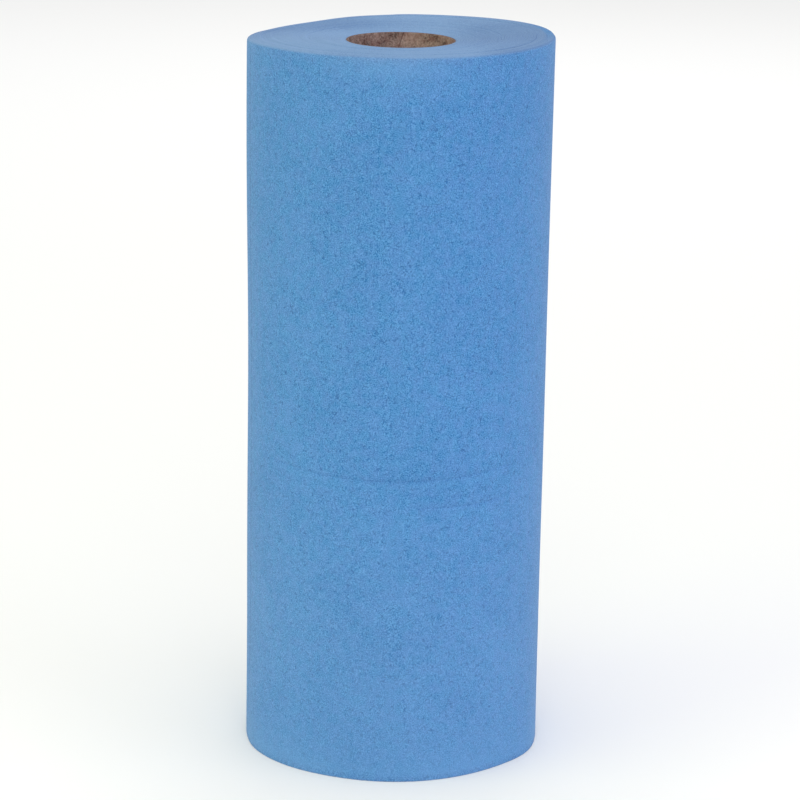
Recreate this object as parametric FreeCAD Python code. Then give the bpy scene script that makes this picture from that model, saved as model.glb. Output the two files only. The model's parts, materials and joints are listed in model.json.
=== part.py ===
"""A paper towel roll that stands on its end: a long web wound on a cardboard core.

Millimetres, +Z up. The origin is on the axis of the core, in the plane that the
roll stands on. The roll is seen from -Y, so its free edge lies at the back.
"""

import FreeCAD, Part
import math
import os

# Driving dimensions of the wound web
roll_height = 280.0
tail_radius = 58.7
sheet_thickness = 0.6
rim_radius = 1.5
tail_angle = 93.3

# Both ends are dished towards the core and stand on a flat ring
dish_depth = 1.8
flat_ring_width = 9.0

# Driving dimensions of the core, and the glue line that holds the first turn on it
core_bore_radius = 20.0
core_wall = 0.8
glue_gap = 0.1

# A groove spirals over each end and stands for the gap between the turns
turns_per_groove = 8
groove_width = 0.9
groove_depth = 0.6
groove_margin = 1.5

# Sizes that follow from them
core_radius = core_bore_radius + core_wall
bore_radius = core_radius + glue_gap
foot_radius = tail_radius - sheet_thickness
flat_outer_radius = foot_radius - rim_radius
flat_inner_radius = flat_outer_radius - flat_ring_width
core_length = roll_height - 2 * dish_depth
groove_pitch = turns_per_groove * sheet_thickness

# How far a cutting shape reaches past the surface that it cuts
CUT_MARGIN = 0.4

# The two ends of the roll, and the axis that it is wound about
FOOT = -1
HEAD = 1
ORIGIN = FreeCAD.Vector(0, 0, 0)
UP = FreeCAD.Vector(0, 0, 1)


def point(radius, height):
    """A point of a section, which is drawn in the XZ plane."""
    return FreeCAD.Vector(radius, 0, height)


def revolved(corners, centre_x=0.0, first_angle=0.0, sweep=360.0):
    """Turns a section, given by its corners, about the upright axis through centre_x."""
    face = Part.Face(Part.makePolygon([*corners, corners[0]]))
    face.rotate(ORIGIN, UP, first_angle)
    solid = face.revolve(ORIGIN, UP, sweep)
    solid.translate(FreeCAD.Vector(centre_x, 0, 0))
    return solid


def end_height(depth, end):
    """The height of a point that lies at a depth inside the foot or the head."""
    return depth if end == FOOT else roll_height - depth


def rim_corners(radius, end):
    """The rounded rim of one end, drawn as two flats, from the wall to the end face."""
    flat_radius = radius - rim_radius
    across = rim_radius * math.sqrt(0.5)
    return [
        point(radius, end_height(rim_radius, end)),
        point(flat_radius + across, end_height(rim_radius - across, end)),
        point(flat_radius, end_height(0, end)),
    ]


def half_web(radius, centre_x, first_angle):
    """Half of the wound web, filled to its axis, with both rims rounded."""
    foot_rim = reversed(rim_corners(radius, FOOT))
    head_rim = rim_corners(radius, HEAD)
    section = [point(0, 0), *foot_rim, *head_rim, point(0, roll_height)]
    return revolved(section, centre_x, first_angle, 180.0)


def wound_outline():
    """The web's outer form: two half circles whose radius grows by one sheet in a turn.

    They meet smoothly on one side. On the other, where the last turn ends, they
    leave a step as thick as the sheet: the free edge.
    """
    quarter = sheet_thickness / 4
    inner_half = half_web(tail_radius - 3 * quarter, -quarter, 0.0)
    outer_half = half_web(tail_radius - quarter, quarter, 180.0)
    return inner_half.fuse(outer_half)


def dish_slope():
    return dish_depth / (flat_inner_radius - bore_radius)


def dish_sag(radius):
    """How far the dished end lies inside the end plane at a radius."""
    return max(0.0, (flat_inner_radius - radius) * dish_slope())


def dish_cutter(end):
    """The cone that dishes one end."""
    edge_radius = flat_inner_radius + CUT_MARGIN / dish_slope()
    outside = end_height(-CUT_MARGIN, end)
    apex = end_height(dish_sag(0.0), end)
    return revolved([point(0, outside), point(edge_radius, outside), point(0, apex)])


def groove_cutters(end):
    """The half turns of a V that spirals from the core out over one end."""
    quarter = groove_pitch / 4
    start = bore_radius + groove_margin
    limit = flat_outer_radius - groove_margin
    half_turns = int((limit - start) / (2 * quarter))
    half_width = groove_width / 2 * (groove_depth + CUT_MARGIN) / groove_depth
    cutters = []
    for k in range(half_turns):
        radius = start + (2 * k + 1) * quarter
        sag = dish_sag(radius)
        mouth = end_height(sag - CUT_MARGIN, end)
        section = [
            point(radius - half_width, mouth),
            point(radius + half_width, mouth),
            point(radius, end_height(sag + groove_depth, end)),
        ]
        second_half = k % 2
        centre_x = quarter if second_half else -quarter
        cutters.append(revolved(section, centre_x, 180.0 * second_half, 180.0))
    return cutters


def wound_towel():
    """All turns of the web as one solid."""
    web = wound_outline()
    bore = Part.makeCylinder(bore_radius, roll_height, ORIGIN, UP)
    web = web.cut([bore, dish_cutter(FOOT), dish_cutter(HEAD)]).removeSplitter()
    web = web.cut(groove_cutters(FOOT) + groove_cutters(HEAD))
    web.rotate(ORIGIN, UP, tail_angle)
    return web


def cardboard_core():
    """The tube that the web is wound on. Its ends are level with the foot of each dish."""
    base = FreeCAD.Vector(0, 0, dish_depth)
    outside = Part.makeCylinder(core_radius, core_length, base, UP)
    inside = Part.makeCylinder(core_bore_radius, core_length, base, UP)
    return outside.cut(inside)


def main():
    os.makedirs("parts", exist_ok=True)
    pieces = {
        "wound_towel": wound_towel(),
        "cardboard_core": cardboard_core(),
    }
    for name, shape in pieces.items():
        solids = len(shape.Solids)
        volume = shape.Volume / 1000
        print(f"{name}: valid {shape.isValid()}, solids {solids}, {volume:.1f} cm3")
        shape.exportStep(f"parts/{name}.step")


main()
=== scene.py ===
"""Dresses a paper towel roll: the wound web, its cardboard core and a plain studio.

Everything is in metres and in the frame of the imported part. The roll stands on its
end at the origin, is seen from -Y, and has the free edge of its web at the back.
"""

import json
import math
from collections import namedtuple

import bpy
import numpy as np
from bpy.props import FloatProperty, FloatVectorProperty, IntProperty, PointerProperty
from mathutils import Matrix, Vector


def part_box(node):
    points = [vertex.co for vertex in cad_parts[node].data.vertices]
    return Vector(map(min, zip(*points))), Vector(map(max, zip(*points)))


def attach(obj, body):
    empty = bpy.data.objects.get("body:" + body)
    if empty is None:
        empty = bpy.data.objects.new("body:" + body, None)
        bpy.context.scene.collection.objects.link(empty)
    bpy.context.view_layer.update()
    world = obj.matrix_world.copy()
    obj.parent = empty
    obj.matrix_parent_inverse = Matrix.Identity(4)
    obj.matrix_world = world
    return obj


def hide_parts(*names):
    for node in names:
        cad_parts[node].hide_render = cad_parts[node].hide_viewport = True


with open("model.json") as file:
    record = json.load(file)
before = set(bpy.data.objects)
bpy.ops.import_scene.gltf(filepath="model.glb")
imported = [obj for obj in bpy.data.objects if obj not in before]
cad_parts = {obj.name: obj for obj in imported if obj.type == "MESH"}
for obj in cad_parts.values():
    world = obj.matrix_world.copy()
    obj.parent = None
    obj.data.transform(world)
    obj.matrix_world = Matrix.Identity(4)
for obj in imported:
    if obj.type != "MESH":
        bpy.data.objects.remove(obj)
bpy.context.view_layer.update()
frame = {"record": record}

bl_info = {
    "name": "Paper towel roll",
    "version": (1, 0, 0),
    "blender": (4, 5, 0),
    "location": "3D View > Sidebar > Towel roll",
    "description": "Winds a paper towel roll around its measured frame and lights it",
    "category": "Object",
}

MM = 0.001
BODY = "root"

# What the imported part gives
_, WEB_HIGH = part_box("wound_towel")
CORE_LOW, CORE_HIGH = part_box("cardboard_core")
CORE_BORE = next(m for m in frame["record"]["mounts"] if m["name"] == "core_bore")
CORE_BORE_RADIUS = CORE_BORE["dims"]["r_mm"] * MM


def linear(hex_colour):
    """The linear red, green and blue of an sRGB hex colour."""
    channels = [int(hex_colour[i:i + 2], 16) / 255 for i in (0, 2, 4)]
    return tuple(c / 12.92 if c <= 0.04045 else ((c + 0.055) / 1.055) ** 2.4 for c in channels)


def opaque(colour):
    """A colour property's value as a node socket takes it."""
    return (*colour, 1.0)


# Settings that a user would change


def number(name, description, default, **options):
    """A number, with a unit or a subtype among its options."""
    return FloatProperty(name=name, description=description, default=default, **options)


def length(name, description, millimetres):
    """A length, given in millimetres."""
    return number(name, description, millimetres * MM, unit="LENGTH", precision=5)


def angle(name, description, degrees):
    """An angle, given in degrees."""
    return number(name, description, math.radians(degrees), subtype="ANGLE")


def watts(name, description, power):
    """The power of a light, given in watts."""
    return number(name, description, power, unit="POWER")


def colour(name, description, hex_colour):
    """A colour, given as sRGB hex."""
    return FloatVectorProperty(
        name=name, description=description, default=linear(hex_colour), subtype="COLOR", min=0, max=1
    )


class WebSettings(bpy.types.PropertyGroup):
    """Sizes and colours of the wound web."""

    turn_pitch: length("Turn pitch", "How much one turn adds to the radius", 0.6)
    sheet_thickness: length("Sheet thickness", "Thickness of one loose sheet", 0.42)
    sheet_length: length("Sheet length", "From one perforation to the next", 264.0)
    glue_gap: length("Glue gap", "Between the core and the first turn", 0.1)
    foot_rim_radius: length("Foot rim radius", "Rounding of the rim that it stands on", 0.5)
    head_rim_radius: length("Head rim radius", "Rounding of the upper rim", 1.4)
    dish_depth: length("Dish depth", "How far each end sinks towards the core", 1.8)
    flat_ring_width: length("Flat ring width", "Width of the ring outside the dish", 9.0)
    groove_depth: length("Groove depth", "Depth of the line between two turns", 0.16)
    turn_unevenness: length("Turn unevenness", "How far single turns stand proud", 0.09)
    band_unevenness: length("Band unevenness", "How far groups of turns stand proud", 0.16)
    wall_waviness: length("Wall waviness", "Slow swell of the wall", 0.12)
    tail_lift: length("Tail lift", "How far the free edge stands off the roll", 1.2)
    tail_reach: length("Tail reach", "Over what length the free end is lifted", 7.0)
    tail_angle: angle("Tail angle", "Where the free edge lies, from +X", 93.3)
    waist: length("Waist", "How much slimmer the roll is at half its height", 0.35)
    columns: IntProperty(name="Columns", description="Mesh columns round the roll", default=150)
    seed: IntProperty(name="Seed", description="Start of the random unevenness", default=7)
    # Also the colour of the painted light on a crease's lip and at the rims
    face_light: colour("Face light", "Raised fibres of the face", "619fd8")
    face_dark: colour("Face dark", "Hollows between the fibres", "266cac")
    # Also the colour of the painted shade in the creases and in the perforation's slits
    fold_and_shade_dark: colour("Fold dark", "Creped folds between the fibres", "295d9a")
    dye_patch: colour("Dye patch", "Where the dye has taken redder", "7d90dc")
    fuzz: colour("Fuzz", "Loose fibre ends against the light", "fff8e4")
    # Also the colour of the painted light that pales the wall near its rims and low down
    cut_light: colour("Cut light", "Cut fibre ends", "7da1ce")
    # Also the colour of the painted shade in the line between two turns
    cut_dark: colour("Cut dark", "Gaps between the cut turns", "5f84b6")


class CoreSettings(bpy.types.PropertyGroup):
    """Sizes and colours of the cardboard core."""

    seam_lean: angle("Seam lean", "Lean of the ply seam from the level", 72.0)
    seam_angle: angle("Seam angle", "Where the seam meets the head, from +X", 87.0)
    seam_width: length("Seam width", "Gap between two laps of the inner ply", 0.5)
    seam_depth: length("Seam depth", "Depth of that gap", 0.1)
    edge_bevel: length("Edge bevel", "Bruised edge of the cut ends", 0.15)
    columns: IntProperty(name="Columns", description="Mesh columns round the core", default=160)
    kraft_light: colour("Kraft light", "Long pale fibres", "cdb4ac")
    kraft_dark: colour("Kraft dark", "Dark recycled fibres", "513b37")
    kraft_red: colour("Kraft red", "Redder recycled pulp", "8a5850")
    ply_edge: colour("Ply edge", "Cut edge of the plies", "6e554b")


class StudioSettings(bpy.types.PropertyGroup):
    """Camera, lights and floor."""

    eye_distance: length("Eye distance", "From the roll's axis to the camera", 1082.0)
    eye_height: length("Eye height", "Height of the camera above the floor", 435.0)
    pitch: angle("Pitch", "How far the camera looks down", 15.42)
    yaw: angle("Yaw", "How far the camera looks to the right", 0.09)
    roll: angle("Roll", "How far the camera is turned about its own axis", 0.86)
    focal_length: number("Focal length", "For a sensor 36 mm wide", 128.8, unit="CAMERA")
    floor_size: length("Floor size", "Side of the square floor", 9000.0)
    floor_paint: colour("Floor paint", "Matt white painted board", "fafafa")
    sky: colour("Sky", "Light from all round", "ffffff")
    horizon: number("Horizon", "Strength of the sky low down", 0.32)
    zenith: number("Zenith", "Strength of the sky overhead", 1.16)
    backdrop: number("Backdrop", "What the lowest few degrees of the sky add", 0.45)
    left_tint: colour("Left tint", "Softbox on the left", "f4ff80")
    right_tint: colour("Right tint", "Softbox on the right", "dce6ff")
    low_tint: colour("Low tint", "Warm bounce from the table", "ffe8d0")
    left_power: watts("Left power", "Softbox on the left", 5.1)
    right_power: watts("Right power", "Softbox on the right", 3.45)
    front_power: watts("Front power", "Softbox in front", 3.5)
    back_power: watts("Back power", "Softbox behind", 3.6)
    low_power: watts("Low power", "Bounce in front", 0.22)
    side_power: watts("Side power", "Bounce at each side", 0.07)


# Materials

# Starts of the noise, which place the blotches on the roll's ends and in the board
ENDS_START = 28.9
MOTTLE_START = 40.9

# The perforation: a slit of 4 mm and a tie of 1 mm, and how dark the painted shade in a slit is
SLIT_SPACING = 5 * MM
SLIT_SHARE = 0.8
SLIT_DARKNESS = 0.55

# Has a Mix node mix colours
COLOURS = {"data_type": "RGBA"}

# What the web's vertices carry for its material. Apart from the cut look of the ends, they place painted
# light and shade
WEB_LOOKS = ("cut_edge", "turn_gap", "crease", "slits")


def add_node(tree, kind, settings=None, inputs=None, output=None):
    """Adds a node and gives its named output, or else the first one that it uses.

    Each input is given a constant or the socket that feeds it. The inputs of a Mix node
    share their names, so they go by number: 0 is the factor, 2 and 3 are the values and
    6 and 7 the colours.
    """
    node = tree.nodes.new(kind)
    for name, value in (settings or {}).items():
        setattr(node, name, value)
    for key, value in (inputs or {}).items():
        if isinstance(value, bpy.types.NodeSocket):
            tree.links.new(value, node.inputs[key])
        else:
            node.inputs[key].default_value = value
    return node.outputs[output] if output else next((s for s in node.outputs if s.enabled), None)


def new_material(name):
    """An empty node material, and the tree to build it in."""
    material = bpy.data.materials.new(name)
    material.use_nodes = True
    tree = material.node_tree
    tree.nodes.clear()
    return material, tree


def towelling_tone(tree, place):
    """The web's grain, from hollows to raised fibres, and the felting under it."""
    # Fibres of 0.02 mm, drawn as a grain of 0.36 mm so that they show, over felting of 2.2 mm
    grain = add_node(tree, "ShaderNodeTexNoise", {}, {
        "Vector": place, "Scale": 1 / (0.36 * MM), "Detail": 0.0,
    })
    felt = add_node(tree, "ShaderNodeTexNoise", {}, {
        "Vector": place, "Scale": 1 / (2.2 * MM), "Detail": 1.0,
    })
    cloud = add_node(tree, "ShaderNodeTexNoise", {}, {
        "Vector": place, "Scale": 1 / (24 * MM), "Detail": 2.0,
    })
    coarse = add_node(tree, "ShaderNodeMix", {}, {0: 0.4, 2: felt, 3: cloud})
    tone = add_node(tree, "ShaderNodeMix", {}, {0: 0.25, 2: grain, 3: coarse})
    return tone, felt


def towelling_folds(tree, place, felt):
    """Creped folds 0.3 mm wide, as curls about 1.5 mm long: the middle line of a noise."""
    curl = add_node(tree, "ShaderNodeTexNoise", {}, {
        "Vector": place, "Scale": 1 / (1.3 * MM), "Detail": 0.0, "Distortion": 0.6,
    })
    curl = add_node(tree, "ShaderNodeMath", {"operation": "SUBTRACT"}, {0: curl, 1: 0.5})
    curl = add_node(tree, "ShaderNodeMath", {"operation": "ABSOLUTE"}, {0: curl})
    curl = add_node(tree, "ShaderNodeMapRange", {}, {
        "Value": curl, "From Max": 0.07, "To Min": 1.0, "To Max": 0.0,
    })
    breaks = add_node(tree, "ShaderNodeMapRange", {}, {
        "Value": felt, "From Min": 0.42, "From Max": 0.62, "To Max": 0.8,
    })
    return add_node(tree, "ShaderNodeMath", {"operation": "MULTIPLY"}, {0: curl, 1: breaks})


def towelling_face(tree, web, place, tone, fold):
    """The colour of the web's face."""
    light = add_node(tree, "ShaderNodeMapRange", {}, {"Value": tone, "From Min": 0.31, "From Max": 0.65})
    face = add_node(tree, "ShaderNodeMix", COLOURS, {
        0: light, 6: opaque(web.face_dark), 7: opaque(web.face_light),
    })

    # The dye has taken a little unevenly, in patches of 4 mm
    dye = add_node(tree, "ShaderNodeTexNoise", {}, {
        "Vector": place, "Scale": 1 / (4 * MM), "Detail": 1.0, "Roughness": 0.6,
    })
    dye = add_node(tree, "ShaderNodeMapRange", {}, {
        "Value": dye, "From Min": 0.35, "From Max": 0.65, "To Max": 0.13,
    })
    face = add_node(tree, "ShaderNodeMix", COLOURS, {0: dye, 6: face, 7: opaque(web.dye_patch)})

    return add_node(tree, "ShaderNodeMix", COLOURS, {0: fold, 6: face, 7: opaque(web.fold_and_shade_dark)})


def towelling_ends(tree, web, place, gap, tone, felt):
    """The colour of the cut ends: a paler grain, with a painted shade in the line between two turns."""
    shade = add_node(tree, "ShaderNodeMapRange", {}, {
        "Value": tone, "From Min": 0.32, "From Max": 0.66, "To Min": 0.8, "To Max": 0.0,
    })

    # The ends are paler or darker in broad patches of 45 mm
    variation = add_node(tree, "ShaderNodeTexNoise", {"noise_dimensions": "4D"}, {
        "Vector": place, "W": ENDS_START, "Scale": 1 / (45 * MM), "Detail": 0.0,
    })
    variation = add_node(tree, "ShaderNodeMapRange", {}, {
        "Value": variation, "From Min": 0.35, "From Max": 0.65, "To Min": 0.3, "To Max": -0.45,
    })
    # Painted shade in the line between two turns, uneven with the felting
    line = add_node(tree, "ShaderNodeMath", {"operation": "MULTIPLY"}, {0: gap, 1: felt})
    line = add_node(tree, "ShaderNodeMath", {"operation": "ADD"}, {0: line, 1: variation})
    shade = add_node(tree, "ShaderNodeMath", {"operation": "ADD", "use_clamp": True}, {0: shade, 1: line})
    return add_node(tree, "ShaderNodeMix", COLOURS, {
        0: shade, 6: opaque(web.cut_light), 7: opaque(web.cut_dark),
    })


def perforation(tree, place, slits):
    """How much painted shade a place has in a slit of the perforation, drawn wider than the real 0.2 mm.
    """
    value = add_node(tree, "ShaderNodeSeparateXYZ", {}, {0: place}, output="Z")
    steps = (
        ("MULTIPLY", 1 / SLIT_SPACING), ("FRACT", 0.0), ("LESS_THAN", SLIT_SHARE),
        ("MULTIPLY", slits), ("MULTIPLY", SLIT_DARKNESS),
    )
    for operation, other in steps:
        value = add_node(tree, "ShaderNodeMath", {"operation": operation}, {0: value, 1: other})
    return value


def creped_towelling(web):
    """Wet-laid cellulose towelling, creped and dyed blue: matt, dry and softly felted.

    Its face is a fine grain of raised fibres, broken by short dark curls where the
    crepe folds. The cut ends of the fibres, at both ends of the roll, scatter more
    light and look paler and greyer, with a faint painted shade in the line between two turns.
    """
    material, tree = new_material("creped_blue_towelling")
    place = add_node(tree, "ShaderNodeTexCoord", output="Object")
    cut, gap, crease, slits = (
        add_node(tree, "ShaderNodeAttribute", {"attribute_name": name}, output="Fac")
        for name in WEB_LOOKS
    )
    tone, felt = towelling_tone(tree, place)
    fold = towelling_folds(tree, place, felt)
    finish = add_node(tree, "ShaderNodeMix", COLOURS, {
        0: cut,
        6: towelling_face(tree, web, place, tone, fold),
        7: towelling_ends(tree, web, place, gap, tone, felt),
    })

    # Painted shade in a crease and the perforation's slits, painted light on a crease's lip and the rims
    painted_light = add_node(tree, "ShaderNodeMath", {"operation": "MULTIPLY"}, {0: crease, 1: -1.0})
    slit = perforation(tree, place, slits)
    for share, tint in ((crease, web.fold_and_shade_dark), (painted_light, web.face_light), (slit, web.fold_and_shade_dark)):
        finish = add_node(tree, "ShaderNodeMix", COLOURS, {0: share, 6: finish, 7: opaque(tint)})

    height = add_node(tree, "ShaderNodeMath", {"operation": "SUBTRACT"}, {0: tone, 1: fold})
    bump = add_node(tree, "ShaderNodeBump", {}, {
        "Strength": 0.5, "Distance": 0.15 * MM, "Height": height,
    })
    shader = add_node(tree, "ShaderNodeBsdfPrincipled", {}, {
        "Base Color": finish, "Roughness": 0.95, "Specular IOR Level": 0.25,
        "Sheen Weight": 0.11, "Sheen Roughness": 0.5, "Sheen Tint": opaque(web.fuzz), "Normal": bump,
    })
    add_node(tree, "ShaderNodeOutputMaterial", {}, {"Surface": shader})
    return material


def wound_paperboard(core):
    """Spiral-wound recycled paperboard: bare, matt and brown, mottled by mixed fibres.

    A darker line follows the gap between two laps of the inner ply, and the cut
    ends show the plies as a slightly redder edge.
    """
    material, tree = new_material("wound_brown_paperboard")
    place = add_node(tree, "ShaderNodeTexCoord", output="Object")
    seam, cut = (
        add_node(tree, "ShaderNodeAttribute", {"attribute_name": name}, output="Fac")
        for name in ("ply_seam", "cut_edge")
    )

    # Fibre clumps of 0.8 mm over mottling of 6 mm
    clumps = add_node(tree, "ShaderNodeTexNoise", {}, {
        "Vector": place, "Scale": 1 / (0.8 * MM), "Detail": 3.0, "Roughness": 0.7,
    })
    mottle = add_node(tree, "ShaderNodeTexNoise", {"noise_dimensions": "4D"}, {
        "Vector": place, "W": MOTTLE_START, "Scale": 1 / (6 * MM), "Detail": 1.0,
    })
    tone = add_node(tree, "ShaderNodeMix", {}, {0: 0.5, 2: clumps, 3: mottle})
    dark = add_node(tree, "ShaderNodeMapRange", {}, {
        "Value": tone, "From Min": 0.38, "From Max": 0.62, "To Min": 1.0, "To Max": 0.0,
    })

    # The gap between two laps, broken up by the clumps
    broken = add_node(tree, "ShaderNodeMapRange", {}, {
        "Value": clumps, "From Min": 0.4, "From Max": 0.6, "To Min": 0.1, "To Max": 0.7,
    })
    seam = add_node(tree, "ShaderNodeMath", {"operation": "MULTIPLY"}, {0: seam, 1: broken})
    dark = add_node(tree, "ShaderNodeMath", {"operation": "ADD", "use_clamp": True}, {0: dark, 1: seam})
    board = add_node(tree, "ShaderNodeMix", COLOURS, {
        0: dark, 6: opaque(core.kraft_light), 7: opaque(core.kraft_dark),
    })

    # Redder pulp in patches of 3 mm, and the redder cut edge of the plies
    pulp = add_node(tree, "ShaderNodeTexNoise", {}, {
        "Vector": place, "Scale": 1 / (3 * MM), "Detail": 2.0, "Roughness": 0.6,
    })
    pulp = add_node(tree, "ShaderNodeMapRange", {}, {
        "Value": pulp, "From Min": 0.4, "From Max": 0.65, "To Max": 0.4,
    })
    board = add_node(tree, "ShaderNodeMix", COLOURS, {0: pulp, 6: board, 7: opaque(core.kraft_red)})
    finish = add_node(tree, "ShaderNodeMix", COLOURS, {0: cut, 6: board, 7: opaque(core.ply_edge)})
    bump = add_node(tree, "ShaderNodeBump", {}, {"Strength": 0.5, "Distance": 0.12 * MM, "Height": tone})
    shader = add_node(tree, "ShaderNodeBsdfPrincipled", {}, {
        "Base Color": finish, "Roughness": 0.88, "Specular IOR Level": 0.3, "Normal": bump,
    })
    add_node(tree, "ShaderNodeOutputMaterial", {}, {"Surface": shader})
    return material


def painted_board(studio):
    """Matt white painted board: an even pale ground with no gloss."""
    material, tree = new_material("matt_white_board")
    shader = add_node(tree, "ShaderNodeBsdfPrincipled", {}, {
        "Base Color": opaque(studio.floor_paint), "Roughness": 0.9, "Specular IOR Level": 0.1,
    })
    add_node(tree, "ShaderNodeOutputMaterial", {}, {"Surface": shader})
    return material


# Unevenness

# The knots of a random curve: how many before it repeats, and how far their heights spread
KNOT_COUNT = 4096
KNOT_SPREAD = 0.6


def knotted(rng, spacing):
    """A smooth random curve of one variable, about one high, with a knot at each spacing."""
    knots = rng.normal(0.0, KNOT_SPREAD, KNOT_COUNT)

    def value(x):
        x = np.asarray(x) / spacing
        i = np.floor(x).astype(int) % (len(knots) - 1)
        t = x - np.floor(x)
        t = t * t * (3 - 2 * t)
        return knots[i] * (1 - t) + knots[i + 1] * t

    return value


def swell(rng, waves, wavelength):
    """A slow random swell of the wall that closes round the roll, about one high."""
    orders = rng.integers(1, 7, waves)
    phases = rng.uniform(0, 2 * math.pi, waves)
    rates = rng.uniform(-1, 1, waves) * 2 * math.pi / wavelength

    def value(theta, z):
        waved = sum(np.cos(n * theta + q * z + p) for n, q, p in zip(orders, rates, phases))
        return waved / math.sqrt(waves)

    return value


# Horizontal creases in the last turn: first and last angle from +X in degrees, then the
# heights at its start, middle and end, and its depth, in millimetres
Crease = namedtuple("Crease", "first last start middle end depth")
CREASES = (
    Crease(212, 322, 123.05, 120.45, 123.1, 0.62),
    Crease(276, 316, 110.2, 109.8, 110.3, 0.50),
    Crease(265, 275, 129.1, 129.3, 129.7, 0.45),
    Crease(240, 300, 269.4, 269.2, 269.4, 0.12),
    Crease(240, 305, 75.0, 75.0, 75.4, 0.14),
)

# A crease falls to a sharp line from above and below, and has a lip under it. Towards both
# its ends it fades, the more suddenly the smaller its fade
UPPER_SIDE = 1.3 * MM
LOWER_SIDE = 1.7 * MM
LIP_PLACE = 3.0 * MM
LIP_REACH = 2.0 * MM
LIP_SHARE = 0.5
CREASE_FADE = 0.4

# Its painted shade reaches up from its line. Below it a painted light pales the lip instead. Both
# rates are for a metre of depth
SHADE_ABOVE = 0.7 * MM
SHADE_BELOW = 0.15 * MM
SHADE_RATE = 460
LIP_LIGHT_PLACE = 1.7 * MM
LIP_LIGHT_REACH = 1.1 * MM
LIP_LIGHT_RATE = 300


def around(theta, centre, reach):
    """One at an angle, fading to nothing beyond its reach, both in degrees."""
    off = (np.degrees(theta) - centre + 180) % 360 - 180
    return np.exp(-(off / reach) ** 2)


def crease_share(crease, theta):
    """How far along a crease an angle lies: nothing at its first angle, one at its last."""
    return np.clip((np.degrees(theta) % 360 - crease.first) / (crease.last - crease.first), 0, 1)


def crease_line(crease, theta):
    """The height of a crease at an angle, on a curve through its three heights."""
    t = crease_share(crease, theta)
    start = crease.start * (1 - t) * (1 - 2 * t)
    middle = crease.middle * 4 * t * (1 - t)
    end = crease.end * t * (2 * t - 1)
    return MM * (start + middle + end)


def crease_parts(theta, z):
    """Each crease's depth along its line, and how far above that line a place is."""
    for crease in CREASES:
        depth = crease.depth * MM * np.sin(np.pi * crease_share(crease, theta)) ** CREASE_FADE
        yield depth, z - crease_line(crease, theta)


def crease_depth(theta, z):
    """How deep the creases lie: two sides that fall to a sharp line, and a lip below."""
    depth = 0.0
    for most, off in crease_parts(theta, z):
        valley = np.exp(-np.abs(off / np.where(off > 0, UPPER_SIDE, LOWER_SIDE)))
        lip = LIP_SHARE * np.exp(-((off + LIP_PLACE) / LIP_REACH) ** 2)
        depth = depth + most * (valley - lip)
    return depth


def crease_shade_and_light(theta, z):
    """How far a place is in a crease's painted shade, or less than nothing in the painted light on the
    lip below it.
    """
    shade = 0.0
    for most, off in crease_parts(theta, z):
        dark = np.exp(-np.abs(off / np.where(off > 0, SHADE_ABOVE, SHADE_BELOW)))
        lip_light = np.exp(-((off + LIP_LIGHT_PLACE) / LIP_LIGHT_REACH) ** 2)
        shade = shade + most * (SHADE_RATE * dark - LIP_LIGHT_RATE * lip_light)
    return np.clip(shade, -1, 1)


# Where the soft foot has spread: (angle, reach in degrees, how far in millimetres), and how
# far up
FOOT_BULGES = ((208, 18, 1.9), (230, 14, 0.8), (334, 14, 1.4), (358, 12, -0.35))
FOOT_HEIGHT = 32 * MM


def foot_spread(theta, z):
    """How far the wall has spread near the foot."""
    spread = 0.0
    for centre, reach, most in FOOT_BULGES:
        spread = spread + most * MM * around(theta, centre, reach)
    return spread * np.exp(-(z / FOOT_HEIGHT) ** 2)


# How far the last turns stand above the head at angles from +X, in millimetres: they
# were cut slightly askew and have slumped at the back left
RIM_LEVELS = (
    (20, 1.3), (40, 0.95), (65, 0.4), (90, 0.1), (97, -0.3), (108, -0.6), (117, -1.2),
    (127, -2.0), (140, -2.35), (155, -2.5), (172, -1.7), (190, -0.9), (215, 0.0),
    (250, 0.2), (290, 0.25), (320, 0.5), (345, 0.95),
)
LEVEL_SPREAD = (-4, 0, 4)


def rim_level(theta):
    """The height of the last turns above the head, smoothed over a few degrees."""
    angles, levels = zip(*RIM_LEVELS)
    near = [np.interp(np.degrees(theta) + d, angles, levels, period=360) for d in LEVEL_SPREAD]
    return MM * sum(near) / len(near)


# Where the last turns lean in over the head, so that their face shows: angle and reach in
# degrees, how much of it shows, how wide it is, and over what width it begins
FOLDED_ANGLE = 9
FOLDED_REACH = 17
FOLDED_SHARE = 0.85
FOLDED_WIDTH = 4.0 * MM
FOLDED_START = 1 * MM

# A painted highlight pales the upper rim in front: angle and reach in degrees, and its share elsewhere
HIGHLIGHT_ANGLE = 266
HIGHLIGHT_REACH = 24
HIGHLIGHT_LEAST = 0.2


def folded_rim(end, theta):
    """Near one where the last turns lean in over the head, and nothing elsewhere."""
    return FOLDED_SHARE * around(theta, FOLDED_ANGLE, FOLDED_REACH) * (end == "head")


def front_highlight(theta):
    """One in front, where a painted highlight pales the upper rim, and nothing elsewhere."""
    return around(theta, HIGHLIGHT_ANGLE, HIGHLIGHT_REACH)


def rim_paleness(end, theta):
    """How much of its full pale cut look a rim has: all of it at the foot, and at the head mostly in
    front, as a painted highlight.
    """
    if end == "foot":
        return np.ones_like(theta)
    variation = HIGHLIGHT_LEAST + (1 - HIGHLIGHT_LEAST) * front_highlight(theta)
    return variation * (1 - folded_rim(end, theta))


# Meshes


def new_mesh(name, points, faces, values):
    """A smooth mesh that carries, under each name, a value for each of its vertices."""
    mesh = bpy.data.meshes.new(name)
    mesh.from_pydata(points.tolist(), [], faces)
    for key, value in values.items():
        attribute = mesh.attributes.new(key, "FLOAT", "POINT")
        attribute.data.foreach_set("value", value.astype(np.float32).ravel())
    mesh.shade_smooth()
    return mesh


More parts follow.
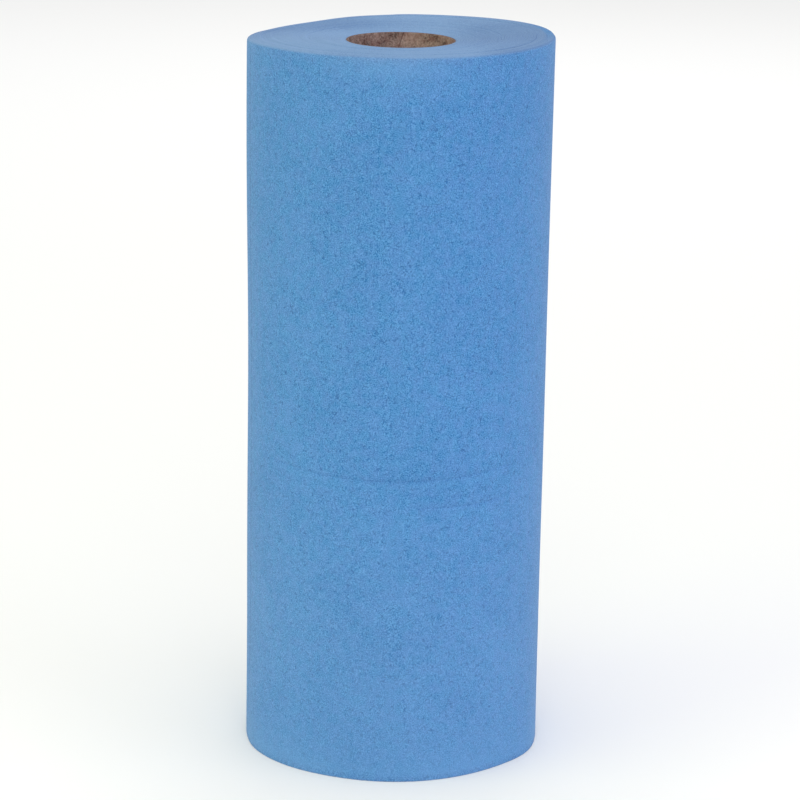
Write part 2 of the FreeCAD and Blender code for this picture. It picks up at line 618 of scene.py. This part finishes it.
def sharpen(mesh, chains):
    """Marks the edges that run along each chain of vertices as sharp."""
    sharp = mesh.attributes.new("sharp_edge", "BOOLEAN", "EDGE")
    for edge in mesh.edges:
        a, b = edge.vertices
        if any(a in chain and b in chain for chain in chains):
            sharp.data[edge.index].value = True


# The wound web

ENDS = ("foot", "head")

# Vertices of one turn on an end, as shares of the way from one line between turns to the next
TURN_VERTICES = (0.0, 0.3, 0.75)
# Vertices of a rounded rim from its turns down to the wall, in degrees
RIM_ANGLES = (74.0, 82.0, 90.0)

# Rows of the wall, rows beside a crease, the least room between both, and how far rows are
# moved to follow a crease
ROW_SPACING = 2.6 * MM
CREASE_ROWS = tuple(
    MM * x for x in (-4.4, -2.9, -1.9, -1.1, -0.5, -0.15, 0, 0.15, 0.4, 0.8, 1.4, 2.4)
)
ROW_ROOM = 0.9 * MM
CREASE_REACH = 6 * MM
# Above this share of the height the wall's rows follow the askew head
ASKEW_FROM = 0.8
# Rows between the bore's ends, from the head down, as shares of its height
BORE_ROWS = (0.75, 0.5, 0.25)
# The parts of a column of the mesh, in their order
COLUMN_PARTS = ("bore_foot", "foot_turns", "foot_rim", "wall", "head_rim", "head_turns", "bore_head")

# Columns beside the free edge and the perforation, in millimetres from them, and the least
# room between these and the even ones
EDGE_COLUMNS = (0.6, 1.4, 2.4, 3.6, 5.0, 6.8, 9.0, 11.6)
SCORE_COLUMNS = (-1.0, -0.45, 0.0, 0.45, 1.0)
COLUMN_ROOM = 1.2 * MM

# Spacing of the random unevenness: in turns for single ones and for bands, then along the
# free edge for its wander and its lift. The wall swells in waves, the shortest this long
SINGLE_SPACING = 0.21
BAND_SPACING = 3.7
WANDER_SPACING = 16 * MM
LIFT_SPACING = 40 * MM
SWELL_WAVES = 9
SWELL_LENGTH = 110 * MM

# The slight curve of the dish, the share of the height that the waist reaches, and the line
# of the perforation, which is pressed in
DISH_POWER = 1.2
WAIST_REACH = 0.3
SCORE_REACH = 0.35 * MM
SCORE_DEPTH = 0.1 * MM

# The free end's lift and how much that changes, as shares of the full lift. Then how far its
# edge wanders, how far round the roll that reaches, and over what height it begins at a rim
LIFT_MIDDLE = 0.75
LIFT_CHANGE = 0.4
WANDER = 0.35 * MM
WANDER_REACH = 9 * MM
WANDER_MARGIN = 8 * MM

# On an end: how fast the wall's form dies away inwards, how far a turn may stand proud, and
# how deep the line behind the lifted turn is, for its lift
WALL_POWER = 4
PROUD_LIMIT = 0.12 * MM
LIFTED_LINE = 1.5

# The pale look of the cut ends stays full a little way down a rim and fades over this share of
# its radius. A rim keeps these shares of it, one for each of its angles. At the head most of it
# is kept in front, as a painted highlight, and at the foot the last share also pales the wall
# above, as painted light from the floor's bounce
CUT_START = 1.15
CUT_SHARE = 0.75
FOOT_PALE_EDGE = 0.24
RIM_CUT_SHARES = {"foot": (0.4, 0.32, FOOT_PALE_EDGE), "head": (0.5, 0.46, 0.42)}

# Painted light on the wall: at both rims, as a painted highlight on the pale upper rim in front, and over
# the lower part from the floor's bounce
RIM_FADE = 9 * MM
RIM_LIGHT = 0.5
HEAD_RIM_LIGHT = 0.6
HEAD_HIGHLIGHT = 0.3
HEAD_EDGE = 1.5 * MM
FOOT_BOUNCE_LIGHT = 0.13
FOOT_BOUNCE_TOP = 135 * MM
FOOT_BOUNCE_FADE = 85 * MM

# The sheet is at most as thick as this share of its free edge's stand-off. The crevice behind
# it lies a smaller share off the turn below, and reaches in
SHEET_SHARE = 0.8
CREVICE_RISE = 0.05
CREVICE_DEPTH = 3.0 * MM
# The looks of the sheet's lower corner and of the crevice
STEP_LOOKS = {"cut_edge": (0.6, 0.0), "turn_gap": (0.0, 1.0)}


class WebShape:
    """The form of the wound web: radii and heights for each share of the last turn."""

    def __init__(self, web):
        rng = np.random.default_rng(web.seed)
        self.web = web
        self.height = WEB_HIGH.z
        self.tail_radius = WEB_HIGH.y
        self.bore = CORE_HIGH.x + web.glue_gap
        self.turns = round((self.tail_radius - self.bore) / web.turn_pitch) - 1
        self.rim_radius = {"foot": web.foot_rim_radius, "head": web.head_rim_radius}
        self.flat_inner = self.tail_radius - web.turn_pitch - web.head_rim_radius - web.flat_ring_width
        self.single = {end: knotted(rng, SINGLE_SPACING) for end in ENDS}
        self.bands = {end: knotted(rng, BAND_SPACING) for end in ENDS}
        self.swell = swell(rng, SWELL_WAVES, SWELL_LENGTH)
        self.edge_wander = knotted(rng, WANDER_SPACING)
        self.lift = knotted(rng, LIFT_SPACING)

    def outer_radius(self, u):
        """Radius of the last turn at a share u of it, counted from under the free edge."""
        return self.bore + self.web.turn_pitch * (self.turns + u)

    def angle(self, u):
        """The angle from +X at a share of the last turn."""
        return self.web.tail_angle + 2 * math.pi * u

    def level(self, end):
        """The height of an end, as an array that goes with those of the columns."""
        return np.array([[0.0 if end == "foot" else self.height]])

    def inward(self, end):
        """The sign of a height that leads from an end into the roll."""
        return 1 if end == "foot" else -1

    def end_plane(self, end, theta, r):
        """The height of an end before it is dished, rounded and made uneven."""
        if end == "foot":
            return 0.0
        return self.height + rim_level(theta) * ((r - self.bore) / (self.tail_radius - self.bore)) ** 2

    def dish(self, r):
        """How far an end has sunk towards the core at a radius."""
        deep = np.clip((self.flat_inner - r) / (self.flat_inner - self.bore), 0, 1)
        return self.web.dish_depth * deep ** DISH_POWER

    def rim_drop(self, end, r, outer):
        """How far the rounded rim has sunk at a radius."""
        rounding = self.rim_radius[end]
        across = np.clip((r - outer + rounding) / rounding, 0, 1)
        return rounding * (1 - np.sqrt(1 - across ** 2))

    def from_tail(self, u):
        """The length of web between a place in the last turn and the free edge."""
        return (1 - u) * 2 * math.pi * self.tail_radius

    def slits(self, u):
        """One on the line of the perforation, and nothing a millimetre beside it."""
        return np.exp(-((self.from_tail(u) - self.web.sheet_length) / SCORE_REACH) ** 2)

    def flap(self, u, z):
        """How far the free end stands off the turn below it."""
        fade = np.exp(-(self.from_tail(u) / self.web.tail_reach) ** 2)
        return self.web.tail_lift * fade * (LIFT_MIDDLE + LIFT_CHANGE * self.lift(z))

    def wall_offset(self, u, z):
        """How far the wall lies off its spiral, apart from the lifted free end."""
        web = self.web
        theta = self.angle(u)
        waist = web.waist * np.exp(-((z - 0.5 * self.height) / (WAIST_REACH * self.height)) ** 2)
        score = SCORE_DEPTH * self.slits(u)
        swell = web.wall_waviness * self.swell(theta, z)
        return swell + foot_spread(theta, z) - waist - score - crease_depth(theta, z)


def column_shares(shape):
    """Shares of the turn at which the mesh has a column, closer at the free edge and perforation."""
    web = shape.web
    girth = 2 * math.pi * shape.tail_radius
    perforation = 1 - web.sheet_length / girth
    fine = [1 - d * MM / girth for d in EDGE_COLUMNS]
    fine += [perforation + d * MM / girth for d in SCORE_COLUMNS]
    room = COLUMN_ROOM / girth
    even = [u for u in np.linspace(0, 1, web.columns + 1) if all(abs(u - v) > room for v in fine)]
    return np.array(sorted(even + fine))


def row_heights(shape):
    """Heights of the wall's rows between the rims, closer at the creases."""
    low = shape.rim_radius["foot"]
    high = shape.height - shape.rim_radius["head"]
    count = round((high - low) / ROW_SPACING)
    even = np.linspace(low, high, count + 1)[1:-1]
    fine = sorted(crease.middle * MM + x for crease in CREASES for x in CREASE_ROWS)
    kept = [z for z in even if all(abs(z - f) > ROW_ROOM for f in fine)]
    return np.array(sorted(kept + fine))


def follow_creases(theta, z):
    """Moves rows near a crease up or down, so that they run along its line."""
    moved = z
    for crease in CREASES:
        middle = crease.middle * MM
        near = np.exp(-((z - middle) / CREASE_REACH) ** 2)
        moved = moved + (crease_line(crease, theta) - middle) * near
    return moved


def end_turns(shape, u, end):
    """The turns of one end for each column: radius, height, cut edge, gap, crease and slits."""
    web = shape.web
    k = np.repeat(np.arange(shape.turns), len(TURN_VERTICES))
    part = np.tile(TURN_VERTICES, shape.turns)
    s = k[None, :] + u[:, None]
    theta = shape.angle(u)[:, None]
    outer = shape.outer_radius(u)[:, None]
    edge = shape.wall_offset(u[:, None], shape.level(end))
    flap = shape.flap(u[:, None], shape.level(end)) * (k == shape.turns - 1)[None, :]

    # The last turns follow the form of the wall, and the lifted one stands off
    r = shape.bore + web.turn_pitch * (s + part[None, :])
    share = ((r - shape.bore) / (outer - shape.bore)) ** WALL_POWER
    r = r + edge * share + flap * (part > 0)[None, :]

    # Turns stand proud singly and in bands, with a line between each two
    proud = web.turn_unevenness * shape.single[end](s) + web.band_unevenness * shape.bands[end](s)
    gap = np.broadcast_to((part == 0)[None, :], s.shape).astype(float)
    drop = shape.rim_drop(end, r, outer + edge + flap)
    depth = shape.dish(r) + drop + web.groove_depth * gap - np.clip(proud, None, PROUD_LIMIT)
    depth = depth + LIFTED_LINE * flap * gap
    if end == "foot":
        depth = np.maximum(depth, 0)
    z = shape.end_plane(end, theta, r) + shape.inward(end) * depth

    # Cut fibres show down to the rim, but not where the last turns lean in
    # At the head the cut look near the rim is kept mostly in front, as a painted highlight
    least = RIM_CUT_SHARES[end][0] * rim_paleness(end, theta)
    cut = np.clip(CUT_START - drop / (CUT_SHARE * shape.rim_radius[end]), least, 1)
    folded = folded_rim(end, theta) * np.clip((r - outer + FOLDED_WIDTH) / FOLDED_START, 0, 1)
    return r, z, cut * (1 - folded), gap, np.zeros_like(r), np.zeros_like(r)


def rim(shape, u, end):
    """The lower part of a rounded rim, from the last turn to the wall, in the same six parts."""
    steep = np.radians(RIM_ANGLES)[None, :]
    radius = shape.rim_radius[end]
    theta = shape.angle(u)[:, None]
    outer = shape.outer_radius(u)[:, None] + shape.wall_offset(u[:, None], shape.level(end))
    outer = outer + shape.flap(u[:, None], shape.level(end))
    r = outer - radius * (1 - np.sin(steep))
    z = shape.end_plane(end, theta, r) + shape.inward(end) * radius * (1 - np.cos(steep))
    # At the head the rim's cut look is kept mostly in front, as a painted highlight
    cut = np.array([RIM_CUT_SHARES[end]]) * rim_paleness(end, theta)
    return r, z, cut, np.zeros_like(r), np.zeros_like(r), np.zeros_like(r)


def painted_rim_light(shape, theta, z):
    """How much painted light pales the wall: all round the foot, from the floor's bounce, and where the
    painted highlight lies on the upper rim in front.
    """
    head = front_highlight(theta) * np.exp(-((shape.height - z) / RIM_FADE) ** 2)
    return RIM_LIGHT * (np.exp(-z / RIM_FADE) + HEAD_RIM_LIGHT * head)


def painted_wall_light(shape, theta, z):
    """How far the wall takes the paler colour of the cut ends, as painted light: at both rims, with a
    painted highlight on the upper rim in front, and from the floor's bounce near the foot.
    """
    low = np.clip((FOOT_BOUNCE_TOP - z) / FOOT_BOUNCE_FADE, 0, 1)
    variation = FOOT_BOUNCE_LIGHT * low ** 2 * (3 - 2 * low)
    below = shape.height - z
    head = HEAD_HIGHLIGHT * (np.exp(-(below / RIM_FADE) ** 2) + np.exp(-below / HEAD_EDGE))
    head = head * front_highlight(theta)
    return FOOT_PALE_EDGE * np.exp(-z / RIM_FADE) + head + variation


def web_columns(shape, u):
    """The closed profile of each column, from the bore over the foot, wall and head to the bore."""
    rows = row_heights(shape)
    flat = np.zeros((len(u), 1))
    bore = flat + shape.bore
    theta = shape.angle(u)[:, None]
    bore_foot = flat + shape.web.dish_depth
    bore_head = shape.end_plane("head", theta, bore) - shape.web.dish_depth

    z = follow_creases(theta, rows[None, :] + flat)
    askew = np.clip((z - ASKEW_FROM * shape.height) / ((1 - ASKEW_FROM) * shape.height), 0, 1) ** 2
    z = z + rim_level(theta) * askew
    wall_r = shape.outer_radius(u)[:, None] + shape.wall_offset(u[:, None], z)
    wall_r = wall_r + shape.flap(u[:, None], z)
    slits = shape.slits(u)[:, None] + np.zeros_like(z)
    # Painted shade in the creases, less the painted light on their lips and at the rims
    shade = crease_shade_and_light(theta, z) - painted_rim_light(shape, theta, z)
    # On the wall the paler cut colour is painted light
    wall = (wall_r, z, painted_wall_light(shape, theta, z), np.zeros_like(z), shade, slits)

    foot_turns = end_turns(shape, u, "foot")
    head_turns = tuple(a[:, ::-1] for a in end_turns(shape, u, "head"))
    foot_rim = rim(shape, u, "foot")
    head_rim = tuple(a[:, ::-1] for a in rim(shape, u, "head"))
    inner = [(bore, bore_foot + t * (bore_head - bore_foot), flat, flat, flat, flat)
             for t in BORE_ROWS]
    parts = [
        (bore, bore_foot, flat + 1, flat, flat, flat), foot_turns, foot_rim, wall,
        head_rim, head_turns, (bore, bore_head, flat + 1, flat, flat, flat), *inner,
    ]
    joined = [np.concatenate([np.broadcast_to(p[c], p[0].shape) for p in parts], axis=1)
              for c in range(len(wall))]
    starts = np.cumsum([0] + [p[0].shape[1] for p in parts])
    return joined, dict(zip(COLUMN_PARTS, starts))


def web_angles(shape, u, z, starts):
    """The angle of each vertex. The free edge wanders a little along its height."""
    theta = np.repeat(shape.angle(u)[:, None], z.shape[1], axis=1)
    near = np.exp(-(shape.from_tail(u)[:, None] / WANDER_REACH) ** 2)
    inside = np.clip(np.minimum(z, shape.height - z) / WANDER_MARGIN, 0, 1)
    wander = WANDER * shape.edge_wander(z) * inside / shape.tail_radius
    wall = slice(starts["foot_rim"], starts["head_turns"])
    theta[:, wall] += (near * wander)[:, wall]
    return theta


def join_turns(last, per_column, starts):
    """The vertex numbers of each column, and which vertices the last column has of its own.

    The last column is the first one again, one turn further out. Only its last turn and
    its wall are its own, since the free edge ends there.
    """
    per_turn = len(TURN_VERTICES)
    foot, foot_end = starts["foot_turns"], starts["foot_rim"]
    head, head_end = starts["head_turns"], starts["bore_head"]
    ids = np.arange(last * per_column).reshape(last, per_column)
    closing = ids[0].copy()
    closing[foot:foot_end - per_turn] = ids[0, foot + per_turn:foot_end]
    closing[head + per_turn:head_end] = ids[0, head:head_end - per_turn]
    own = np.arange(foot_end - per_turn, head + per_turn)
    closing[own] = last * per_column + np.arange(len(own))
    return np.vstack([ids, closing]), own


def free_edge(web, outer, inner):
    """Under the free edge: the sheet's lower corner and a crevice that reaches in behind it."""
    flat = (1, 1, 0)
    radial = outer * flat / np.linalg.norm(outer * flat, axis=1)[:, None]
    stand_off = np.linalg.norm((outer - inner) * flat, axis=1)[:, None]
    thickness = np.minimum(web.sheet_thickness, SHEET_SHARE * stand_off)
    backward = np.stack([radial[:, 1], -radial[:, 0], 0 * radial[:, 0]], axis=1)
    corner = outer - radial * thickness
    crevice = inner + radial * CREVICE_RISE * stand_off + backward * CREVICE_DEPTH
    return corner, crevice


def web_faces(ids, chains, starts):
    """The faces between the columns, the strips of the free edge, and what closes its ends."""
    down = np.roll(np.arange(ids.shape[1]), -1)
    quads = np.stack([ids[:-1], ids[1:], ids[1:][:, down], ids[:-1][:, down]], axis=-1)
    faces = quads.reshape(-1, 4).tolist()
    for near, far in zip(chains, chains[1:]):
        faces += np.stack([near[:-1], near[1:], far[1:], far[:-1]], axis=-1).tolist()

    per_turn = len(TURN_VERTICES)
    foot, foot_end = starts["foot_turns"], starts["foot_rim"]
    head, head_end = starts["head_turns"], starts["bore_head"]
    first, last = ids[0], ids[-1]
    below = last[foot_end - per_turn:foot_end][::-1]
    above = last[head:head + per_turn][::-1]
    closing = (
        [first[foot_end - 1], *(chain[0] for chain in chains), *below],
        [chains[0][-1], first[head], *above, *(chain[-1] for chain in chains[:0:-1])],
        [first[0], *first[foot:foot + per_turn + 1]],
        [*first[head_end - per_turn - 1:head_end], first[head_end]],
    )
    return faces + [[int(i) for i in face] for face in closing]


def web_mesh(web):
    """The whole web as one closed mesh whose turns run on as a true spiral."""
    shape = WebShape(web)
    u = column_shares(shape)
    (r, z, *looks), starts = web_columns(shape, u)
    theta = web_angles(shape, u, z, starts)
    xyz = np.stack([r * np.cos(theta), r * np.sin(theta), z], axis=-1)

    last = len(u) - 1
    ids, own = join_turns(last, r.shape[1], starts)
    stepped = np.arange(starts["foot_rim"], starts["head_turns"])
    corner, crevice = free_edge(web, xyz[last, stepped], xyz[0, stepped])
    points = np.vstack([xyz[:last].reshape(-1, 3), xyz[last, own], corner, crevice])
    values = {}
    for name, value in zip(WEB_LOOKS, looks):
        step = [np.full(len(stepped), look) for look in STEP_LOOKS.get(name, (0.0, 0.0))]
        values[name] = np.concatenate([value[:last].reshape(-1), value[last, own], *step])

    crevice_ids = len(points) - len(stepped) + np.arange(len(stepped))
    chains = [ids[0, stepped], crevice_ids, crevice_ids - len(stepped), ids[last, stepped]]
    mesh = new_mesh("wound_towel_web", points, web_faces(ids, chains, starts), values)

    # Every line of the free edge is sharp but the one in the crevice
    del chains[1]
    sharpen(mesh, [set(chain.tolist()) for chain in chains])
    return mesh


# The cardboard core

# Rows of its inner and outer wall, columns across the seam and how far from its middle it
# lies deep, both as shares of its width, and the least angle of a sharp edge
INNER_ROWS = 90
OUTER_ROWS = 24
SEAM_COLUMNS = (-0.5, -0.3, 0.0, 0.3, 0.5)
SEAM_FLOOR = 0.4
SHARP_ANGLE = math.radians(40)


def core_profile(core):
    """The core's section as radii, heights, cut edge and place on the inner wall."""
    inner, outer = CORE_BORE_RADIUS, CORE_HIGH.x
    low, high, bevel = CORE_LOW.z, CORE_HIGH.z, core.edge_bevel
    wall = [(inner, z, 0.0, 1.0) for z in np.linspace(low + bevel, high - bevel, INNER_ROWS)]
    head = [(inner + bevel, high, 1.0, 0.0), (outer - bevel, high, 1.0, 0.0)]
    outside = [(outer, z, 0.0, 0.0) for z in np.linspace(high - bevel, low + bevel, OUTER_ROWS)]
    foot = [(outer - bevel, low, 1.0, 0.0), (inner + bevel, low, 1.0, 0.0)]
    return np.array(wall + head + outside + foot)


def core_mesh(core):
    """The core as one closed mesh whose columns follow the ply seam up the tube."""
    r, z, cut, inside = core_profile(core).T
    across = core.seam_width / CORE_BORE_RADIUS
    even = np.linspace(0, 2 * math.pi, core.columns, endpoint=False)
    even = even[(even > across) & (even < 2 * math.pi - across)]
    turn = np.sort(np.concatenate([even, np.array(SEAM_COLUMNS) * across]))
    twist = (z - CORE_HIGH.z) / (CORE_BORE_RADIUS * math.tan(core.seam_lean))
    theta = core.seam_angle + turn[:, None] - twist[None, :]
    in_seam = (np.abs(turn) <= SEAM_FLOOR * across)[:, None] * inside[None, :]
    radius = r[None, :] + core.seam_depth * in_seam
    xyz = np.stack([radius * np.cos(theta), radius * np.sin(theta), z + 0 * theta], axis=-1)

    ids = np.arange(theta.size).reshape(theta.shape)
    onward, up = np.roll(ids, -1, axis=0), np.roll(ids, -1, axis=1)
    faces = np.stack([ids, up, np.roll(onward, -1, axis=1), onward], axis=-1).reshape(-1, 4)
    values = {"cut_edge": np.broadcast_to(cut, theta.shape), "ply_seam": in_seam}
    mesh = new_mesh("cardboard_core_tube", xyz.reshape(-1, 3), faces.tolist(), values)
    mesh.set_sharp_from_angle(angle=SHARP_ANGLE)
    return mesh


def dress(name, mesh, material, node):
    """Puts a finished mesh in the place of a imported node."""
    mesh.materials.append(material)
    piece = bpy.data.objects.new(name, mesh)
    bpy.context.scene.collection.objects.link(piece)
    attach(piece, BODY)
    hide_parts(node)


# Operators


class OBJECT_OT_wind_towel_web(bpy.types.Operator):
    """Wind the web of towelling: all its turns, both ends and the free edge"""

    bl_idname = "towel_roll.wind_web"
    bl_label = "Wind the web"

    def execute(self, context):
        web = context.scene.towel_web
        dress("towel_web", web_mesh(web), creped_towelling(web), "wound_towel")
        return {"FINISHED"}


class OBJECT_OT_wind_cardboard_core(bpy.types.Operator):
    """Wind the cardboard core with its ply seam"""

    bl_idname = "towel_roll.wind_core"
    bl_label = "Wind the core"

    def execute(self, context):
        core = context.scene.towel_core
        dress("core_tube", core_mesh(core), wound_paperboard(core), "cardboard_core")
        return {"FINISHED"}


# The lights: name, place, what it is turned to and size in metres, and its two settings
MIDDLE = (0, 0, 0.5 * WEB_HIGH.z)
FOOT = (0, 0, 0.02)
LIGHTS = (
    ("softbox_left", (-1.56, -0.73, 0.94), MIDDLE, 1.2, "left_tint", "left_power"),
    ("softbox_right", (1.56, -0.73, 0.94), MIDDLE, 1.2, "right_tint", "right_power"),
    ("bounce_front", (0, -0.5, 0.1), FOOT, 0.2, "low_tint", "low_power"),
    ("bounce_left", (-0.3, -0.12, 0.07), FOOT, 0.12, "low_tint", "side_power"),
    ("bounce_right", (0.3, -0.12, 0.07), FOOT, 0.12, "low_tint", "side_power"),
    ("softbox_front", (0.1, -1.4, 1.6), MIDDLE, 1.0, "sky", "front_power"),
    ("softbox_back", (0.2, 1.7, 1.2), MIDDLE, 1.2, "sky", "back_power"),
)

# The backdrop fades out between these heights, as the sines of their angles
BACKDROP_FULL = 0.06
BACKDROP_END = 0.14

SENSOR_WIDTH = 36.0


def softbox(name, place, target, size, tint, power):
    """A large square soft light at a place, turned to a target."""
    light = bpy.data.lights.new(name, "AREA")
    light.shape = "SQUARE"
    light.size = size
    light.energy = power
    light.color = tint
    lamp = bpy.data.objects.new(name, light)
    lamp.location = place
    aim = Vector(target) - lamp.location
    lamp.rotation_euler = aim.to_track_quat("-Z", "Y").to_euler()
    bpy.context.scene.collection.objects.link(lamp)


def studio_sky(studio):
    """A white tent over the whole floor, brightest overhead, with a pale backdrop at its foot."""
    world = bpy.data.worlds.new("studio_sky")
    world.use_nodes = True
    tree = world.node_tree
    tree.nodes.clear()
    way = add_node(tree, "ShaderNodeTexCoord", output="Generated")
    up = add_node(tree, "ShaderNodeSeparateXYZ", {}, {0: way}, output="Z")
    tent = add_node(tree, "ShaderNodeMapRange", {}, {
        "Value": up, "To Min": studio.horizon, "To Max": studio.zenith,
    })
    backdrop = add_node(tree, "ShaderNodeMapRange", {}, {
        "Value": up, "From Min": BACKDROP_FULL, "From Max": BACKDROP_END,
        "To Min": studio.backdrop, "To Max": 0.0,
    })
    strength = add_node(tree, "ShaderNodeMath", {"operation": "ADD"}, {0: tent, 1: backdrop})
    light = add_node(tree, "ShaderNodeBackground", {}, {
        "Color": opaque(studio.sky), "Strength": strength,
    })
    add_node(tree, "ShaderNodeOutputWorld", {}, {"Surface": light})
    return world


class OBJECT_OT_set_towel_stage(bpy.types.Operator):
    """Set the floor, the lights and the camera at the photograph's angle"""

    bl_idname = "towel_roll.set_stage"
    bl_label = "Set the stage"

    def execute(self, context):
        studio = context.scene.towel_studio
        half = studio.floor_size / 2
        corners = [(-half, -half, 0), (half, -half, 0), (half, half, 0), (-half, half, 0)]
        board = bpy.data.meshes.new("floor_board")
        board.from_pydata(corners, [], [(0, 1, 2, 3)])
        board.materials.append(painted_board(studio))
        floor = bpy.data.objects.new("floor", board)
        context.scene.collection.objects.link(floor)

        context.scene.world = studio_sky(studio)
        context.scene.view_settings.view_transform = "Standard"
        for name, place, target, size, tint, power in LIGHTS:
            softbox(name, place, target, size, getattr(studio, tint), getattr(studio, power))

        camera = bpy.data.cameras.new("camera")
        camera.lens = studio.focal_length
        camera.sensor_width = SENSOR_WIDTH
        eye = bpy.data.objects.new("camera", camera)
        level = Matrix.Rotation(math.pi / 2 - studio.pitch, 4, "X")
        turned = Matrix.Rotation(-studio.yaw, 4, "Z") @ level @ Matrix.Rotation(studio.roll, 4, "Z")
        place = Matrix.Translation((0, -studio.eye_distance, studio.eye_height))
        eye.matrix_world = place @ turned
        context.scene.collection.objects.link(eye)
        context.scene.camera = eye
        return {"FINISHED"}


class VIEW3D_PT_towel_roll(bpy.types.Panel):
    """Lists the steps and settings of the towel roll"""

    bl_label = "Towel roll"
    bl_space_type = "VIEW_3D"
    bl_region_type = "UI"
    bl_category = "Towel roll"

    def draw(self, context):
        for operator in OPERATORS:
            self.layout.operator(operator.bl_idname)
        for group in GROUPS:
            settings = getattr(context.scene, group)
            box = self.layout.box()
            for name in type(settings).__annotations__:
                box.prop(settings, name)


OPERATORS = (OBJECT_OT_wind_towel_web, OBJECT_OT_wind_cardboard_core, OBJECT_OT_set_towel_stage)
GROUPS = {"towel_web": WebSettings, "towel_core": CoreSettings, "towel_studio": StudioSettings}
CLASSES = (*GROUPS.values(), *OPERATORS, VIEW3D_PT_towel_roll)


def register():
    for cls in CLASSES:
        bpy.utils.register_class(cls)
    for name, group in GROUPS.items():
        setattr(bpy.types.Scene, name, PointerProperty(type=group))


def unregister():
    for name in GROUPS:
        delattr(bpy.types.Scene, name)
    for cls in reversed(CLASSES):
        bpy.utils.unregister_class(cls)


def main():
    register()
    bpy.ops.towel_roll.wind_web()
    bpy.ops.towel_roll.wind_core()
    bpy.ops.towel_roll.set_stage()


if __name__ == "__main__":
    main()
